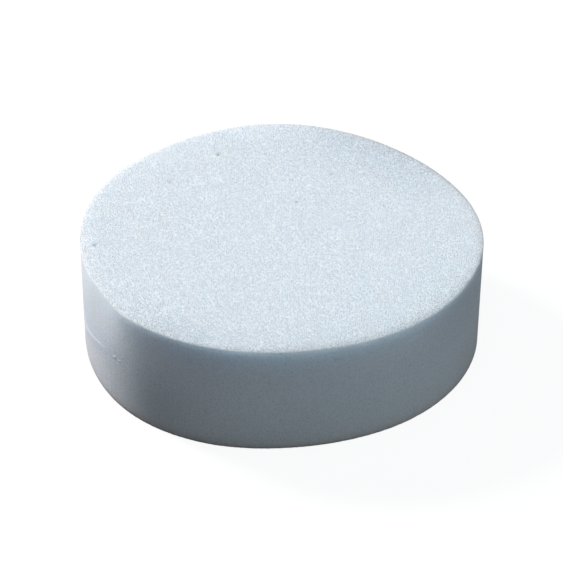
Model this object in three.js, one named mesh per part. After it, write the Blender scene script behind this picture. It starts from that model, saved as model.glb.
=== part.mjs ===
// Round bath sponge: two discs of soft foam, die-cut from sheet and bonded face to face.
// Units are millimetres. +Z is up, and the sponge stands on z = 0 with its middle over the origin.
import * as THREE from "three";

// Driving dimensions
const DIAMETER = 130; // mean width of the cut outline
const LOWER_THICKNESS = 19; // gauge of the lower foam sheet
const UPPER_THICKNESS = 19; // gauge of the upper foam sheet
const FILM_THICKNESS = 0.25; // adhesive film between the two sheets
const FILM_INSET = 1; // how far the film's edge stays inside the cut wall
const RIM_RADIUS = 0.7; // soft edge between the wall and an outer face

// How the cut outline strays from a circle: each ripple has its number of lobes, how far
// a crest swells out, and the heading of one crest in degrees from +X towards +Y.
const RIPPLES = [
  { lobes: 2, swell: 0.33, heading: 42 },
  { lobes: 3, swell: 0.96, heading: 104 },
  { lobes: 4, swell: 0.36, heading: 73 },
  { lobes: 5, swell: 0.36, heading: 17 },
];

// Facets
const FACETS_AROUND = 120;
const ARC_DIVISIONS = 2; // half of the facets across a rounded rim

const foam = new THREE.MeshStandardMaterial({
  color: 0xdae5ee,
  roughness: 0.95,
  metalness: 0,
});

const adhesive = new THREE.MeshStandardMaterial({
  color: 0xe9e6da,
  roughness: 0.45,
  metalness: 0,
});

// How far the outline lies outside its mean circle at an angle from +X, in radians.
function swellAt(angle) {
  let swell = 0;
  for (const ripple of RIPPLES) {
    const fromCrest = angle - THREE.MathUtils.degToRad(ripple.heading);
    swell += ripple.swell * Math.cos(ripple.lobes * fromCrest);
  }
  return swell;
}

// Half section of a disc as (radius, height), from the axis at its underside, round the two
// edges of its wall, to the axis at its top face.
function discSection(radius, thickness, underEdge, topEdge) {
  const section = new THREE.Path();
  section.moveTo(0, 0);
  section.lineTo(radius - underEdge, 0);
  section.absarc(radius - underEdge, underEdge, underEdge, -Math.PI / 2, 0);
  section.absarc(radius - topEdge, thickness - topEdge, topEdge, 0, Math.PI / 2);
  section.lineTo(0, thickness);
  return section.getPoints(ARC_DIVISIONS);
}

// Moves a turned disc's wall in and out with the ripples, each point in proportion to its radius.
function followOutline(geometry) {
  const meanRadius = DIAMETER / 2;
  const position = geometry.getAttribute("position");
  for (let i = 0; i < position.count; i++) {
    const x = position.getX(i);
    const y = position.getY(i);
    const stretch = 1 + swellAt(Math.atan2(y, x)) / meanRadius;
    position.setXY(i, x * stretch, y * stretch);
  }
  geometry.computeVertexNormals();
  return geometry;
}

// A disc cut to the sponge's outline, standing on its own z = 0.
function cutDisc(inset, thickness, underEdge, topEdge) {
  const section = discSection(DIAMETER / 2 - inset, thickness, underEdge, topEdge);
  const turned = new THREE.LatheGeometry(section, FACETS_AROUND).rotateX(Math.PI / 2);
  return followOutline(turned);
}

// A piece of the stack, standing at a height over the sponge's foot.
function layerAt(height, name, disc, material) {
  const layer = new THREE.Mesh(disc, material);
  layer.name = name;
  layer.position.z = height;
  return layer;
}

function lowerFoamLayer() {
  const disc = cutDisc(0, LOWER_THICKNESS, RIM_RADIUS, 0);
  return layerAt(0, "lower_foam_layer", disc, foam);
}

function bondFilm() {
  const disc = cutDisc(FILM_INSET, FILM_THICKNESS, 0, 0);
  return layerAt(LOWER_THICKNESS, "bond_film", disc, adhesive);
}

function upperFoamLayer() {
  const disc = cutDisc(0, UPPER_THICKNESS, 0, RIM_RADIUS);
  return layerAt(LOWER_THICKNESS + FILM_THICKNESS, "upper_foam_layer", disc, foam);
}

// Stacks the pieces and brings the middle of their common outline over the origin.
function bathSponge() {
  const stack = new THREE.Group();
  stack.add(lowerFoamLayer(), bondFilm(), upperFoamLayer());
  const middle = new THREE.Box3().setFromObject(stack).getCenter(new THREE.Vector3());
  stack.position.set(-middle.x, -middle.y, 0);
  const sponge = new THREE.Group();
  sponge.add(stack);
  return sponge;
}

export default bathSponge();
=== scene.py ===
"""Looks of a round foam bath sponge: two foam discs, bonded face to face and cut as one.

Lengths are in metres.
"""

import math

import bpy
import numpy as np
from mathutils import Matrix, Vector


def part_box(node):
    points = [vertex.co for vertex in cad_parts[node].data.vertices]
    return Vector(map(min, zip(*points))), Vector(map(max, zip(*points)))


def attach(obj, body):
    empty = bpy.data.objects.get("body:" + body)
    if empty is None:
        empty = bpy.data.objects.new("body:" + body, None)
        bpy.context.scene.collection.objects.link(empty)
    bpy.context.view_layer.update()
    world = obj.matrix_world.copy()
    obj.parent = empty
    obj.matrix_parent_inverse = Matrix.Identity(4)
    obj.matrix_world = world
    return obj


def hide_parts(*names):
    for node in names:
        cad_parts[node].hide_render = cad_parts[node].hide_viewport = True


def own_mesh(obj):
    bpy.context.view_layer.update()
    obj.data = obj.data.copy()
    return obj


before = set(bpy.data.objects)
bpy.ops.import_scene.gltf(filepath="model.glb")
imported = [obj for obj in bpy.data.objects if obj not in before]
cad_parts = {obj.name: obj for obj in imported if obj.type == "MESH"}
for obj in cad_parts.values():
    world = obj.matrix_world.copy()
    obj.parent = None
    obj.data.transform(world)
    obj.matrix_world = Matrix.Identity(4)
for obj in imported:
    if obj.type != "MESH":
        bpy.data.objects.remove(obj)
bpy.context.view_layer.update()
lower_low, lower_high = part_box("lower_foam_layer")
upper_low, upper_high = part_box("upper_foam_layer")

MM = 0.001

# Camera, as the photograph was taken
CAMERA_AIM = (0.11 * MM, -1.24 * MM, 18.73 * MM)
CAMERA_DISTANCE = 854.0 * MM
CAMERA_ELEVATION = 35.45
CAMERA_ROLL = 0.77
CAMERA_LENS = 166.7

# Form of a foam layer
RIM_RADIUS = 0.7 * MM  # soft edge between the wall and the outer face
TOP_RIM_RADIUS = 0.4 * MM  # the top face was cut again, and its edge is crisper
# Where the top face sinks towards its edge: (heading, degrees from it up to which the sink is full,
# degrees at which it ends, depth at the edge, reach inwards, how far the wall draws in under it)
SINKS = (
    (293.0, 32.0, 65.0, 0.88 * MM, 3.2 * MM, 0.63 * MM),
    (166.0, 20.0, 48.0, 0.2 * MM, 2.4 * MM, 0.0),
)
FOOT_SPREADS = (  # where the foot spreads or draws in: (heading, half width in degrees, spread)
    (256.0, 36.0, 0.36 * MM),
    (182.0, 28.0, -0.5 * MM),
)
BOND_LIP = 0.65 * MM  # foam that meets foam outside the bond film
LIP_SLOPE = 0.1 * MM  # run of the step from the lip up to the film
LIP_GAP = 0.01 * MM  # hairline left between the two lips
OUTLINE_TERMS = 8  # harmonics that follow the cut outline
BOND_CLEAR = (2 * MM, 8 * MM)  # light passes freely inside the foam from here to here above the bond

# Mesh of a foam layer
FACE_RINGS = 140
RIM_ROWS = 5
WALL_ROWS = 30
INNER_ROWS = 6  # those of the wall's rows that lie between a knife line and the bond
SHARP_ANGLE = math.radians(70)  # only the edges of the bonded face are sharper than this
JITTER = 0.28  # share of the spacing that points are scattered by, so that no ring shows

# Slanting line in the lower layer's wall, where the knife left its cut and began again: (heading in degrees
# from +X towards +Y, distance under the bond). Along the line the foam under it stands proud.
KNIFE_START = (190.0, 9.4 * MM)
KNIFE_END = (214.6, 0.1 * MM)
KNIFE_FADE = 18.0  # degrees over which the mesh goes back from the line to a level row
KNIFE_LEVEL = 3.0 * MM  # distance of that level row from the bond
NICK = (187.0, 216.5)
NICK_DEPTH = 0.14 * MM
NICK_REACH = 5.0 * MM  # the wall is back in line this far from the nick
PINCH = 0.16 * MM  # half of the height of the nick's edge
RAGGED = (200.0, 208.0, 0.3 * MM)  # the edge frays from one heading to the next, by this much
FRAY_WAVES = ((2.1, 0.0), (3.3, 1.0))  # waves of the frayed edge: (rate over the heading, shift)

# Above that line the wall was cut again, and is flatter there: (heading, half width in degrees, depth
# at the rim). The older cut swells a little: (heading, half width in degrees, swell at the rim).
NEW_CUT = (214.0, 11.0, 0.6 * MM)
OLD_CUT = (222.0, 17.0, 0.62 * MM)
OLD_CUT_FOOT = 0.3  # share of that swell that is left at the foot

# Crumbs of foam that hang on at the end of the line, as (heading, height over the foot, radius)
CRUMBS = (
    (219.8, 18.7 * MM, 0.6 * MM),
    (222.0, 18.8 * MM, 0.55 * MM),
)
CRUMB_HEIGHT = 0.2 * MM

# Foam cells cut open at the surface
CELL_PITCH = 0.75 * MM
CELL_RADIUS = 0.62 * CELL_PITCH
CELL_BLOCK = 32  # cells along a side of the block in which their scatter repeats
FACE_CELL_SHARE = 0.35  # how much of a cell's hollow is open on the skived face
WALL_CELL_SHARE = 0.1  # and on the smoother cut wall
SKIVED_FROM = 0.5  # cosine of the surface's tilt from which it counts as the skived face
BONDED_TILT = math.pi - 0.1  # a surface tilted further than this belongs to the bonded face
CELL_SEED = 11
JITTER_SEED = 23
STREAK_SEED = 31
PORE_SEED = 47

# Finer cells, carried by the material
FACE_CELL = 0.6 * MM
WALL_CELL = 1.1 * MM
# The cells are painted darker than their struts: painted shade in the open cells, stronger on the face than
# on the wall
FACE_CONTRAST = 0.37
WALL_CONTRAST = 0.062
FACE_BUMP = 1.1
WALL_BUMP = 0.2
BUMP_DISTANCE = 0.15 * MM
STRUT_WIDTH = 0.3  # distance from a cell's edge at which its strut ends, in cells

# Colour of the foam, and how light spreads in it
FOAM_PALE = (0.748, 0.828, 0.9)
FOAM_TINTED = (0.738, 0.823, 0.897)
TINT_SCALE = 45.0  # fineness of the change from one to the other
# Painted shade: hollows, pores, pinholes and the patches below are painted darker, the deeper or nearer
# they are
PAINTED_SHADE_RANGE = 4.0  # pit value at which the foam is darkest
PAINTED_SHADE_LEVEL = 0.4  # its brightness there
SCATTER_DEPTH = 6.0 * MM
SCATTER_TINT = (0.82, 0.97, 1.03)

# Web of the adhesive film
FILM_WEB = 420.0  # cells of the web in a metre
FILM_STRAND = (0.86, 0.83, 0.72)
FILM_GAP = (0.72, 0.74, 0.72)

# Patches along the top edge and down the wall that are painted darker, as painted shade that the lamps
# don't give there: (heading, half width in degrees, reach over the face, reach down the wall, shade)
PAINTED_SHADE_PATCHES = (
    (55.0, 46.0, 34 * MM, 2 * MM, 1.2),
    (237.0, 26.0, 15 * MM, 16 * MM, 0.8),
    (332.0, 27.0, 0.5 * MM, 25 * MM, 1.0),
)

# Broad unevenness of the soft foam
FACE_SWELL = 0.07 * MM
SWELL_WAVES = 9
SWELL_SHORTEST = 18 * MM  # length of the shortest wave
SWELL_SPAN = 42 * MM  # how much longer the longest one may be
STREAK_DEPTH = 0.035 * MM
STREAKS = 14
STREAK_COUNTS = (40, 260)  # range of the number of waves round the wall

# Pinholes in the top face, as (x, y, radius), and pores in the wall
TOP_PINHOLES = (
    (-21.8 * MM, 45.2 * MM, 0.75 * MM),
    (-60.0 * MM, -9.6 * MM, 0.75 * MM),
    (-37.5 * MM, 27.6 * MM, 0.6 * MM),
    (4.8 * MM, 17.2 * MM, 0.7 * MM),
    (16.3 * MM, 34.1 * MM, 0.6 * MM),
    (3.2 * MM, 30.1 * MM, 0.6 * MM),
)
PINHOLE_DEPTH = 0.9 * MM
WALL_PORES = 16
WALL_PORE_RADIUS = (0.45 * MM, 0.65 * MM)
WALL_PORE_DEPTH = 0.22 * MM
WALL_PORE_CLEAR = 1 * MM  # pores keep this far from the bond

# Floor and lamps
FLOOR_HALF = 3.0  # half of the floor's side
FLOOR_NEAR = 0.2  # distance from the middle at which the floor's glow begins to rise
FLOOR_FAR = 0.8  # and at which it is full
FLOOR_NEAR_GLOW = 0.92
SPOT_LAMP_RADIUS = 0.03


def smooth(share):
    """Eases from 0 to 1 as share does, and stays there."""
    share = np.clip(share, 0, 1)
    return share * share * (3 - 2 * share)


def fourier_terms(angle):
    """A constant and the sines and cosines of an outline, one row for each angle."""
    order = np.arange(1, OUTLINE_TERMS + 1)
    turns = np.outer(angle, order)
    return np.hstack([np.ones((len(angle), 1)), np.cos(turns), np.sin(turns)])


def outline_of(node, bonded_z):
    """Middle of a layer's outline and the Fourier series of its radius, from the CAD edge at the bond."""
    low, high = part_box(node)
    middle = np.array([(low.x + high.x) / 2, (low.y + high.y) / 2])
    points = np.array([v.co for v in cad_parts[node].data.vertices])
    offset = points[:, :2] - middle
    radius = np.hypot(offset[:, 0], offset[:, 1])
    on_edge = (np.abs(points[:, 2] - bonded_z) < LIP_GAP) & (radius > radius.max() / 2)
    angle = np.arctan2(offset[on_edge, 1], offset[on_edge, 0])
    series = np.linalg.lstsq(fourier_terms(angle), radius[on_edge], rcond=None)[0]
    return middle, series


def slant(heading):
    """Distance of the knife's slanting line under the bond."""
    (start, start_depth), (end, end_depth) = KNIFE_START, KNIFE_END
    return start_depth + (heading - start) / (end - start) * (end_depth - start_depth)


def fray(heading):
    """How far the torn end of the knife line strays from a straight line."""
    start, full, depth = RAGGED
    waves = sum(np.sin(heading * rate + shift) for rate, shift in FRAY_WAVES)
    return depth / 2 * waves * smooth((heading - start) / (full - start))


def knife_line(angle):
    """Row of the lower layer's mesh: along the knife line where it is nicked, and level elsewhere."""
    heading = np.degrees(angle) % 360
    before = smooth((heading - KNIFE_START[0]) / KNIFE_FADE + 1)
    after = smooth((KNIFE_END[0] - heading) / KNIFE_FADE + 1)
    frayed = np.maximum(slant(heading) + fray(heading), 2 * PINCH)
    return KNIFE_LEVEL + before * after * (frayed - KNIFE_LEVEL)


def level_line(angle):
    """The row of a plain wall that takes the place of a knife line."""
    return np.full(len(angle), KNIFE_LEVEL)


def nicked(angle):
    """1 along the nick of the knife line, falling to 0 at its ends."""
    from_middle = (2 * (np.degrees(angle) % 360) - sum(NICK)) / (NICK[1] - NICK[0])
    return np.maximum(0.0, 1 - from_middle**4)


def bump_about(heading, middle, half_width):
    """A smooth bump over headings: 1 in its middle, and 0 from its half width on."""
    return np.maximum(0.0, 1 - ((heading - middle) / half_width) ** 2) ** 2


def facing(heading, middle, full, end):
    """1 within full degrees of a middle heading, falling to 0 at the end."""
    off = np.abs((heading - middle + 180) % 360 - 180)
    return smooth((end - off) / (end - full))


def hand_cut(angle, height):
    """How far the wall lies outside the smooth outline, at a height over the foot."""
    heading = np.degrees(angle) % 360
    foot = lower_high.z - slant(heading)
    above = smooth((height - foot) / (upper_high.z - foot))
    rise = np.clip((height - lower_low.z) / (upper_high.z - lower_low.z), 0, 1)
    swollen = OLD_CUT_FOOT + (1 - OLD_CUT_FOOT) * rise
    total = -NEW_CUT[2] * bump_about(heading, *NEW_CUT[:2]) * above
    total += OLD_CUT[2] * bump_about(heading, *OLD_CUT[:2]) * swollen
    for middle, half_width, out in FOOT_SPREADS:
        total += out * bump_about(heading, middle, half_width) * (1 - rise)
    for middle, full, end, _, _, draw in SINKS:
        total -= draw * facing(heading, middle, full, end) * rise
    return total


def sink(angle, inset):
    """How far the top face sinks towards its softer edges."""
    heading = np.degrees(angle) % 360
    total = np.zeros(len(angle))
    for middle, full, end, depth, reach, _ in SINKS:
        total += depth * facing(heading, middle, full, end) * np.exp(-inset / reach)
    return total


def painted_shade_patches(angle, inset, drop):
    """Painted shade of the patches, at a distance in from the top edge or down from it."""
    heading = np.degrees(angle) % 360
    total = np.zeros(len(angle))
    for middle, half_width, over, down, shade in PAINTED_SHADE_PATCHES:
        near = smooth(1 - inset / over) * smooth(1 - drop / down)
        total += shade * bump_about(heading, middle, half_width) * near
    return total


def no_sink(angle, inset):
    """A face that lies flat up to its edge."""
    return np.zeros(len(angle))


def disc_rings(rings):
    """A disc of even triangles: (radius share, angle) of its points, ring by ring, and the triangles."""
    share = [np.zeros(1)]
    angle = [np.zeros(1)]
    triangles = []
    inner_start = 0
    inner_count = 1
    for k in range(1, rings + 1):
        count = 6 * k
        start = inner_start + inner_count
        step = np.arange(count)
        share.append(np.full(count, k / rings))
        angle.append(step * (2 * math.pi / count))
        sextant, along = np.divmod(step, k)
        outer = start + step
        outer_next = start + (step + 1) % count
        inner = inner_start + (sextant * (k - 1) + along) % inner_count
        inner_next = inner_start + (sextant * (k - 1) + along + 1) % inner_count
        triangles.append(np.stack([outer, outer_next, inner], 1))
        between = along < k - 1
        triangles.append(np.stack([inner, outer_next, inner_next], 1)[between])
        inner_start = start
        inner_count = count
    return np.concatenate(share), np.concatenate(angle), np.concatenate(triangles)


def band(first, count, rows):
    """Triangles that join rows of points, each of the same count, from the row that begins at first."""
    row, column = np.meshgrid(np.arange(rows), np.arange(count), indexing="ij")
    here = first + row * count + column
    beside = first + row * count + (column + 1) % count
    down = np.stack([here, here + count, beside + count], -1), np.stack([here, beside + count, beside], -1)
    up = np.stack([here, here + count, beside], -1), np.stack([beside, here + count, beside + count], -1)
    flip = ((row + column) % 2 == 0)[..., None]
    pair = [np.where(flip, a, b).reshape(-1, 3) for a, b in zip(down, up)]
    return np.concatenate(pair)


def cell_hollows(points, seed):
    """Depth of the foam cells that the surface cuts open: round hollows about scattered centres."""
    table = np.random.default_rng(seed).random((CELL_BLOCK, CELL_BLOCK, CELL_BLOCK, 3))
    at = points / CELL_PITCH
    cell = np.floor(at).astype(int)
    nearest = np.full(len(points), np.inf)
    for offset in np.ndindex(3, 3, 3):
        neighbour = cell + np.array(offset) - 1
        index = neighbour % CELL_BLOCK
        centre = neighbour + table[index[:, 0], index[:, 1], index[:, 2]]
        nearest = np.minimum(nearest, ((at - centre) ** 2).sum(1))
    reach = (CELL_RADIUS / CELL_PITCH) ** 2
    return np.maximum(0.0, reach - nearest) / (2 * CELL_RADIUS / CELL_PITCH) * CELL_PITCH


def dimples(points, centres, radii, depth):
    """Depth of single holes with round bottoms at the given centres."""
    total = np.zeros(len(points))
    for centre, radius in zip(centres, radii):
        near = ((points - centre) ** 2).sum(1) / radius**2
        total = np.maximum(total, depth * np.maximum(0.0, 1 - near))
    return total


def wall_pores(radius_at, thickness, seed):
    """Centres and radii of the few larger cells that show in a layer's wall."""
    random = np.random.default_rng(PORE_SEED + seed)
    angle = random.random(WALL_PORES) * 2 * math.pi
    height = random.uniform(WALL_PORE_CLEAR, thickness - RIM_RADIUS, WALL_PORES)
    radius = radius_at(angle, height)
    centres = np.stack([np.cos(angle) * radius, np.sin(angle) * radius, height], 1)
    return centres, random.uniform(*WALL_PORE_RADIUS, WALL_PORES)


def streaks(angle):
    """Upright knife streaks round the wall, from 0 to 1. They run on from one layer to the other."""
    random = np.random.default_rng(STREAK_SEED)
    counts = random.integers(*STREAK_COUNTS, STREAKS)
    phases = random.random(STREAKS) * 2 * math.pi
    waves = np.cos(np.outer(angle, counts) + phases).sum(1)
    return 0.5 + 0.5 * np.tanh(waves / math.sqrt(STREAKS))


def swell(points, seed):
    """Slow unevenness of a soft face, from 0 to 1."""
    random = np.random.default_rng(STREAK_SEED + seed)
    total = np.zeros(len(points))
    for _ in range(SWELL_WAVES):
        heading = random.random() * 2 * math.pi
        wave = 2 * math.pi / (SWELL_SHORTEST + SWELL_SPAN * random.random())
        along = points[:, 0] * math.cos(heading) + points[:, 1] * math.sin(heading)
        total += np.cos(along * wave + random.random() * 2 * math.pi)
    return 0.5 + 0.5 * np.tanh(total / math.sqrt(SWELL_WAVES))


def row_of(angle, radius, height, tilt, outer):
    """Points in a row as five lines of numbers.

    tilt is the angle of the surface from level: 0 on the face, a quarter turn on the wall.
    outer is 1 on the face's side of a knife line and 0 on the bond's side.
    """
    return np.stack(np.broadcast_arrays(angle, radius, height, tilt, outer))


def face_row(radius_at, rim, sinking, thickness, share, angle, random):
    """All points of the outer face, scattered a little inside its edge."""
    inside = (share > 0) & (share < 1)
    share = share + inside * JITTER / FACE_RINGS * random.uniform(-1, 1, len(share))
    spread = JITTER / FACE_RINGS / np.maximum(share, 1 / FACE_RINGS)
    angle = angle + inside * spread * random.uniform(-1, 1, len(share))
    reach = radius_at(angle, thickness) - rim
    return row_of(angle, reach * share, thickness - sinking(angle, reach * (1 - share)), 0.0, 1.0)


def rim_rows(around, edge, rim, top):
    """The rounded edge, from the face to the wall."""
    rows = []
    for tilt in np.linspace(0, math.pi / 2, RIM_ROWS + 1)[1:]:
        inset = rim * (1 - math.sin(tilt))
        drop = rim * (1 - math.cos(tilt))
        rows.append(row_of(around, edge - inset, top - drop, tilt, 1.0))
    return rows


def wall_heights(around, top, bottom, line):
    """Heights of the wall's rows from its rim to the bond. Two of them pinch a knife line between them."""
    outer = np.linspace(0, 1, WALL_ROWS - INNER_ROWS + 1)[1:, None]
    inner = np.linspace(0, 1, INNER_ROWS)[:, None]
    height = line(around)
    outer_rows = top + (height + PINCH - top) * outer
    inner_rows = height - PINCH + (bottom - height + PINCH) * inner
    return np.concatenate([outer_rows, inner_rows])


def wall_rows(radius_at, around, heights, random):
    """The wall, its points scattered a little except along the knife line and the bond."""
    last_outer = WALL_ROWS - INNER_ROWS - 1
    spacing = np.abs(np.gradient(heights, axis=0))
    column_step = 2 * math.pi / len(around)
    rows = []
    for i, height in enumerate(heights):
        loose = JITTER * (i not in (last_outer, last_outer + 1, WALL_ROWS - 1))
        angle = around + loose * column_step * random.uniform(-1, 1, len(around))
        height = height + loose * spacing[i] * random.uniform(-1, 1, len(around))
        rows.append(row_of(angle, radius_at(angle, height), height, math.pi / 2, float(i <= last_outer)))
    return rows


def layer_points(radius_at, rim, sinking, thickness, lip_drop, line):
    """Points and triangles of a layer with its outer face up and its bonded face at z = 0.

    Its lip hangs lower, to meet the other layer outside the bond film.
    """
    random = np.random.default_rng(JITTER_SEED)
    share, angle, face = disc_rings(FACE_RINGS)
    columns = 6 * FACE_RINGS
    around = np.arange(columns) * (2 * math.pi / columns)
    top = thickness - sinking(around, 0.0)
    heights = wall_heights(around, top - rim, -lip_drop, line)
    lip = radius_at(around, -lip_drop) - BOND_LIP

    rows = [face_row(radius_at, rim, sinking, thickness, share, angle, random)]
    rows += rim_rows(around, radius_at(around, thickness), rim, top)
    rows += wall_rows(radius_at, around, heights, random)
    rows.append(row_of(around, lip, -lip_drop, math.pi, 0.0))
    rows.append(row_of(around, lip - LIP_SLOPE, 0.0, math.pi, 0.0))
    rows.append(row_of(np.zeros(1), 0.0, 0.0, math.pi, 0.0))

    bands = len(rows) - 2
    first = len(share) - columns
    last = first + bands * columns
    column = np.arange(columns)
    fan = np.stack([last + column, np.full(columns, last + columns), last + (column + 1) % columns], 1)
    return np.concatenate(rows, axis=1), np.concatenate([face, band(first, columns, bands), fan])


def mesh_from(name, points, triangles, **values):
    """A smooth-shaded mesh of triangles, with the given values kept as attributes of its points."""
    mesh = bpy.data.meshes.new(name)
    mesh.vertices.add(len(points))
    mesh.vertices.foreach_set("co", points.astype(np.float32).ravel())
    mesh.loops.add(triangles.size)
    mesh.loops.foreach_set("vertex_index", triangles.astype(np.int32).ravel())
    mesh.polygons.add(len(triangles))
    mesh.polygons.foreach_set("loop_start", np.arange(0, triangles.size, 3, dtype=np.int32))
    mesh.update(calc_edges=True)
    mesh.shade_smooth()
    mesh.set_sharp_from_angle(angle=SHARP_ANGLE)
    for attribute, value in values.items():
        layer = mesh.attributes.new(attribute, "FLOAT", "POINT")
        layer.data.foreach_set("value", value.astype(np.float32))
    return mesh


def crumbs_on(radius_at, bonded_z):
    """Centres and radii of the crumbs on the lower layer's wall."""
    angle = np.radians([heading for heading, _, _ in CRUMBS])
    height = bonded_z - np.array([z for _, z, _ in CRUMBS])
    radius = radius_at(angle, height)
    centres = np.stack([np.cos(angle) * radius, np.sin(angle) * radius, height], 1)
    return centres, [size for _, _, size in CRUMBS]


def surface_of(angle, radius, height, tilt):
    """Points of a layer in space, and the way that the surface faces at each of them."""
    outward = np.stack([np.cos(angle), np.sin(angle), np.zeros(len(angle))], 1)
    normal = outward * np.sin(tilt)[:, None]
    normal[:, 2] = np.cos(tilt)
    points = outward * radius[:, None]
    points[:, 2] = height
    return points, normal


def foam_layer(name, node, bonded_z, outer_z, lip_drop, seed, pinholes=(), knife_cut=False):
    """A foam disc between its bonded face and its outer face, with its cells cut open."""
    middle, series = outline_of(node, bonded_z)
    side = 1 if outer_z > bonded_z else -1
    thickness = abs(outer_z - bonded_z)
    line = knife_line if knife_cut else level_line
    rim = TOP_RIM_RADIUS if side > 0 else RIM_RADIUS
    sinking = sink if side > 0 else no_sink

    def radius_at(angle, height):
        return fourier_terms(angle) @ series + hand_cut(angle, bonded_z + side * height)

    rows, triangles = layer_points(radius_at, rim, sinking, thickness, lip_drop, line)
    angle, radius, height, tilt, outer = rows
    points, normal = surface_of(angle, radius, height, tilt)
    skived = smooth(np.abs(np.cos(tilt)) / SKIVED_FROM)
    exposed = (tilt < BONDED_TILT).astype(float)

    open_share = WALL_CELL_SHARE + (FACE_CELL_SHARE - WALL_CELL_SHARE) * skived
    hollow = open_share * cell_hollows(points + np.array([0, 0, lip_drop]), CELL_SEED)
    pin_centres = [np.array([x - middle[0], y - middle[1], thickness]) for x, y, _ in pinholes]
    pin_radii = [r for _, _, r in pinholes]
    holes = dimples(points, *wall_pores(radius_at, thickness, seed), WALL_PORE_DEPTH)
    holes = np.maximum(holes, dimples(points, pin_centres, pin_radii, PINHOLE_DEPTH))
    broad = FACE_SWELL * swell(points, seed) * skived + STREAK_DEPTH * streaks(angle) * (1 - skived)
    from_line = height - line(angle)
    nick = knife_cut * nicked(angle) * (1 - skived)
    proud = NICK_DEPTH * nick * outer * (1 - smooth(from_line / NICK_REACH))
    if knife_cut:
        proud += dimples(points, *crumbs_on(radius_at, bonded_z), CRUMB_HEIGHT)
    depth = exposed * (np.maximum(hollow, holes) + broad - proud)
    points -= normal * depth[:, None]

    points[:, 2] = bonded_z + side * points[:, 2]
    points[:, :2] += middle
    if side < 0:
        triangles = triangles[:, ::-1]
    # Painted shade: the deeper a hollow, pore or pinhole, the darker it is painted
    pit = exposed * np.maximum(hollow, holes) / (CELL_RADIUS / 2)
    if side > 0:
        # The patches add painted shade along the top edge and down the wall
        inset = np.maximum(0.0, radius_at(angle, height) - rim - radius)
        pit += exposed * painted_shade_patches(angle, inset, thickness - sink(angle, inset) - height)
    clear = smooth((height - BOND_CLEAR[0]) / (BOND_CLEAR[1] - BOND_CLEAR[0]))
    mesh = mesh_from(name, points, triangles, pit=pit, skived=skived, clear=clear)
    piece = bpy.data.objects.new(name, mesh)
    bpy.context.scene.collection.objects.link(piece)
    return piece


def new_material(name):
    """An empty node material, its tree and its output node."""
    material = bpy.data.materials.new(name)
    material.use_nodes = True
    tree = material.node_tree
    tree.nodes.clear()
    return material, tree, tree.nodes.new("ShaderNodeOutputMaterial")


def node_of(tree, kind, **inputs):
    """A node with the given input values, named with underscores for spaces."""
    node = tree.nodes.new(kind)
    for name, value in inputs.items():
        node.inputs[name.replace("_", " ")].default_value = value
    return node


def attribute_of(tree, name):
    """A value that the mesh keeps at its points."""
    node = tree.nodes.new("ShaderNodeAttribute")
    node.attribute_name = name
    return node.outputs["Fac"]


def ramp_of(tree, value, **limits):
    """A value brought from one range to another, given as From_Min, From_Max, To_Min and To_Max."""
    node = node_of(tree, "ShaderNodeMapRange", **limits)
    tree.links.new(value, node.inputs["Value"])
    return node.outputs["Result"]


def math_of(tree, operation, first, second):
    """The sum or product of two values."""
    node = tree.nodes.new("ShaderNodeMath")
    node.operation = operation
    tree.links.new(first, node.inputs[0])
    tree.links.new(second, node.inputs[1])
    return node.outputs["Value"]


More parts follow.
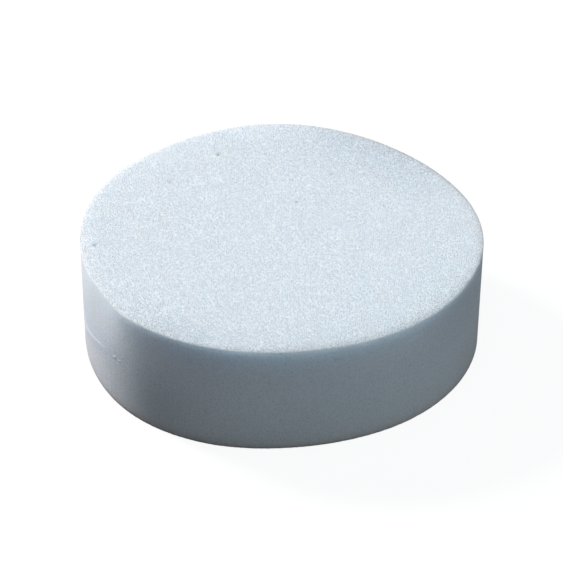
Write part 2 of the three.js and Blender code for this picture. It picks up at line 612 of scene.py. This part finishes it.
def foam_material(name, pale, tinted):
    """Fine open-cell foam: pale, matt and translucent. The cells between its struts are painted darker, and
    its hollows and patches carry painted shade.
    """
    material, tree, output = new_material(name)
    link = tree.links.new
    place = tree.nodes.new("ShaderNodeTexCoord").outputs["Object"]
    skived = attribute_of(tree, "skived")

    broad = node_of(tree, "ShaderNodeTexNoise", Scale=TINT_SCALE, Detail=2.0, Roughness=0.5)
    link(place, broad.inputs["Vector"])
    tint = tree.nodes.new("ShaderNodeMix")
    tint.data_type = "RGBA"
    tint.inputs["A"].default_value = (*pale, 1)
    tint.inputs["B"].default_value = (*tinted, 1)
    link(broad.outputs["Fac"], tint.inputs["Factor"])

    cells = tree.nodes.new("ShaderNodeTexVoronoi")
    link(ramp_of(tree, skived, To_Min=1 / WALL_CELL, To_Max=1 / FACE_CELL), cells.inputs["Scale"])
    cells.feature = "DISTANCE_TO_EDGE"
    link(place, cells.inputs["Vector"])
    struts = ramp_of(tree, cells.outputs["Distance"], From_Max=STRUT_WIDTH, To_Min=1.0, To_Max=0.0)
    # The cells between the struts are painted darker and the struts lighter: painted shade in the open
    # cells
    contrast = ramp_of(tree, skived, To_Min=WALL_CONTRAST, To_Max=FACE_CONTRAST)
    from_mean = ramp_of(tree, struts, To_Min=-1.0, To_Max=1.0)
    painted_cell_shade = math_of(tree, "MULTIPLY", from_mean, contrast)
    # Painted shade of the hollows, pores, pinholes and patches darkens the colour
    pit = attribute_of(tree, "pit")
    pit_shade = ramp_of(tree, pit, From_Max=PAINTED_SHADE_RANGE, To_Min=1.0, To_Max=PAINTED_SHADE_LEVEL)
    level = math_of(tree, "ADD", pit_shade, painted_cell_shade)
    colour = tree.nodes.new("ShaderNodeVectorMath")
    colour.operation = "SCALE"
    link(tint.outputs["Result"], colour.inputs[0])
    link(level, colour.inputs["Scale"])

    bump = node_of(tree, "ShaderNodeBump", Distance=BUMP_DISTANCE)
    link(ramp_of(tree, skived, To_Min=WALL_BUMP, To_Max=FACE_BUMP), bump.inputs["Strength"])
    link(struts, bump.inputs["Height"])

    foam = tree.nodes.new("ShaderNodeBsdfPrincipled")
    foam.inputs["Specular IOR Level"].default_value = 0.1
    foam.inputs["Subsurface Radius"].default_value = SCATTER_TINT
    foam.inputs["Subsurface Scale"].default_value = SCATTER_DEPTH
    link(attribute_of(tree, "clear"), foam.inputs["Subsurface Weight"])
    link(colour.outputs["Vector"], foam.inputs["Base Color"])
    link(ramp_of(tree, struts, To_Min=1.0, To_Max=0.85), foam.inputs["Roughness"])
    link(bump.outputs["Normal"], foam.inputs["Normal"])
    link(foam.outputs["BSDF"], output.inputs["Surface"])
    return material


def adhesive_material():
    """Sprayed adhesive film: pale, half glossy, in a web of strands."""
    material, tree, output = new_material("adhesive_film")
    link = tree.links.new
    place = tree.nodes.new("ShaderNodeTexCoord")
    web = node_of(tree, "ShaderNodeTexVoronoi", Scale=FILM_WEB)
    web.feature = "DISTANCE_TO_EDGE"
    link(place.outputs["Object"], web.inputs["Vector"])
    colour = tree.nodes.new("ShaderNodeValToRGB")
    colour.color_ramp.elements[0].color = (*FILM_STRAND, 1)
    colour.color_ramp.elements[1].color = (*FILM_GAP, 1)
    colour.color_ramp.elements[1].position = 0.25
    link(web.outputs["Distance"], colour.inputs["Fac"])
    bump = node_of(tree, "ShaderNodeBump", Strength=0.4, Distance=0.1 * MM)
    bump.invert = True
    link(web.outputs["Distance"], bump.inputs["Height"])
    film = tree.nodes.new("ShaderNodeBsdfPrincipled")
    film.inputs["Roughness"].default_value = 0.45
    link(colour.outputs["Color"], film.inputs["Base Color"])
    link(bump.outputs["Normal"], film.inputs["Normal"])
    link(film.outputs["BSDF"], output.inputs["Surface"])
    return material


def seen_directly(tree):
    """1 for a ray from the camera, a mirror or glass, and 0 for light on its way round the room."""
    path = tree.nodes.new("ShaderNodeLightPath").outputs
    camera_or_mirror = math_of(tree, "ADD", path["Is Camera Ray"], path["Is Glossy Ray"])
    return math_of(tree, "MAXIMUM", camera_or_mirror, path["Is Transmission Ray"])


def floor_material():
    """A white floor: a faint shadow near the object, white far away, and little light thrown back."""
    material, tree, output = new_material("floor_white")
    link = tree.links.new
    bounce = node_of(tree, "ShaderNodeBsdfDiffuse", Color=(0.16, 0.16, 0.17, 1))
    glow = node_of(tree, "ShaderNodeEmission", Color=(1, 1, 1, 1))
    place = tree.nodes.new("ShaderNodeTexCoord").outputs["Object"]
    distance = tree.nodes.new("ShaderNodeVectorMath")
    distance.operation = "LENGTH"
    link(place, distance.inputs[0])
    limits = {"From_Min": FLOOR_NEAR, "From_Max": FLOOR_FAR, "To_Min": FLOOR_NEAR_GLOW, "To_Max": 1.0}
    link(ramp_of(tree, distance.outputs["Value"], **limits), glow.inputs["Strength"])
    shadow = node_of(tree, "ShaderNodeBsdfDiffuse", Color=(0.1, 0.1, 0.1, 1))
    white = tree.nodes.new("ShaderNodeAddShader")
    link(glow.outputs["Emission"], white.inputs[0])
    link(shadow.outputs["BSDF"], white.inputs[1])
    either = tree.nodes.new("ShaderNodeMixShader")
    link(seen_directly(tree), either.inputs["Fac"])
    link(bounce.outputs["BSDF"], either.inputs[1])
    link(white.outputs["Shader"], either.inputs[2])
    link(either.outputs["Shader"], output.inputs["Surface"])
    return material


def add_floor():
    """A large plane under the sponge."""
    half = FLOOR_HALF
    corners = [(-half, -half, 0), (half, -half, 0), (half, half, 0), (-half, half, 0)]
    mesh = bpy.data.meshes.new("floor")
    mesh.from_pydata(corners, [], [(0, 1, 2, 3)])
    mesh.materials.append(floor_material())
    plane = bpy.data.objects.new("floor", mesh)
    bpy.context.scene.collection.objects.link(plane)
    return plane


def light_world(colour, strength):
    """Soft light from all round, and a white background."""
    world = bpy.data.worlds.new("studio")
    bpy.context.scene.world = world
    world.use_nodes = True
    tree = world.node_tree
    tree.nodes.clear()
    sky = node_of(tree, "ShaderNodeBackground", Color=(*colour, 1), Strength=strength)
    white = node_of(tree, "ShaderNodeBackground", Color=(1, 1, 1, 1), Strength=1.0)
    either = tree.nodes.new("ShaderNodeMixShader")
    output = tree.nodes.new("ShaderNodeOutputWorld")
    tree.links.new(seen_directly(tree), either.inputs["Fac"])
    tree.links.new(sky.outputs["Background"], either.inputs[1])
    tree.links.new(white.outputs["Background"], either.inputs[2])
    tree.links.new(either.outputs["Shader"], output.inputs["Surface"])


def direction(heading, elevation):
    """Unit vector at a heading from +X towards +Y and an elevation over the floor, in degrees."""
    turn = math.radians(heading)
    lift = math.radians(elevation)
    return Vector((math.cos(turn) * math.cos(lift), math.sin(turn) * math.cos(lift), math.sin(lift)))


def add_softbox(name, heading, elevation, distance, size, level, colour=(1, 1, 1)):
    """A square lamp aimed at the sponge. level is how bright a white face square to it would look."""
    lamp = bpy.data.lights.new(name, "AREA")
    lamp.shape = "SQUARE"
    lamp.size = size
    lamp.energy = level * math.pi**2 * distance**2
    lamp.color = colour
    box = bpy.data.objects.new(name, lamp)
    bpy.context.scene.collection.objects.link(box)
    away = direction(heading, elevation)
    box.location = away * distance
    box.rotation_euler = away.to_track_quat("Z", "Y").to_euler()


def add_spot(name, aim, radius, heading, elevation, distance, level, colour):
    """A lamp that throws a soft round pool of light of the given radius on what it is aimed at."""
    lamp = bpy.data.lights.new(name, "SPOT")
    lamp.spot_size = 2 * math.atan(radius / distance)
    lamp.spot_blend = 1.0
    lamp.shadow_soft_size = SPOT_LAMP_RADIUS
    lamp.energy = level * 4 * math.pi**2 * distance**2
    lamp.color = colour
    spot = bpy.data.objects.new(name, lamp)
    bpy.context.scene.collection.objects.link(spot)
    away = direction(heading, elevation)
    spot.location = Vector(aim) + away * distance
    spot.rotation_euler = away.to_track_quat("Z", "Y").to_euler()


def add_camera():
    """The photograph's viewpoint."""
    data = bpy.data.cameras.new("camera")
    data.lens = CAMERA_LENS
    camera = bpy.data.objects.new("camera", data)
    bpy.context.scene.collection.objects.link(camera)
    lift = math.radians(CAMERA_ELEVATION)
    roll = math.radians(CAMERA_ROLL)
    back = Vector((0, -math.cos(lift), math.sin(lift)))
    level_right = Vector((1, 0, 0))
    level_up = back.cross(level_right)
    right = level_right * math.cos(roll) + level_up * math.sin(roll)
    up = level_up * math.cos(roll) - level_right * math.sin(roll)
    turn = Matrix((right, up, back)).transposed().to_4x4()
    camera.matrix_world = Matrix.Translation(Vector(CAMERA_AIM) + back * CAMERA_DISTANCE) @ turn
    bpy.context.scene.camera = camera


bpy.context.scene.view_settings.view_transform = "Standard"
add_camera()
light_world((0.92, 0.98, 1.0), 0.04)
add_softbox("key_light", heading=146.8, elevation=38.5, distance=1.6, size=0.3, level=1.17,
            colour=(0.99, 0.95, 0.97))
add_softbox("top_light", heading=-40, elevation=74, distance=0.36, size=0.25, level=0.37,
            colour=(0.66, 0.87, 1.0))
add_softbox("front_light", heading=311, elevation=4, distance=1.6, size=0.8, level=0.18,
            colour=(1.0, 0.985, 0.955))
add_softbox("back_light", heading=75, elevation=20, distance=1.6, size=0.8, level=0.1)
left_rim = (-56.3 * MM, -32.5 * MM, 44 * MM)
add_spot("left_light", left_rim, radius=29 * MM, heading=208, elevation=-2, distance=0.8, level=0.575,
         colour=(1.0, 0.985, 0.965))
add_floor()

foam = foam_material("pale_foam", FOAM_PALE, FOAM_TINTED)

upper_foam = foam_layer(
    "upper_foam",
    "upper_foam_layer",
    bonded_z=upper_low.z,
    outer_z=upper_high.z,
    lip_drop=upper_low.z - lower_high.z - LIP_GAP,
    seed=0,
    pinholes=TOP_PINHOLES,
)
upper_foam.data.materials.append(foam)
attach(upper_foam, "upper_body")
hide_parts("upper_foam_layer")

lower_foam = foam_layer(
    "lower_foam",
    "lower_foam_layer",
    bonded_z=lower_high.z,
    outer_z=lower_low.z,
    lip_drop=0.0,
    seed=1,
    knife_cut=True,
)
lower_foam.data.materials.append(foam)
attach(lower_foam, "lower_body")
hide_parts("lower_foam_layer")

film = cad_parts["bond_film"]
film.data.materials.clear()
film.data.materials.append(adhesive_material())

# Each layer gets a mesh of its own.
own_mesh(lower_foam)
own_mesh(upper_foam)
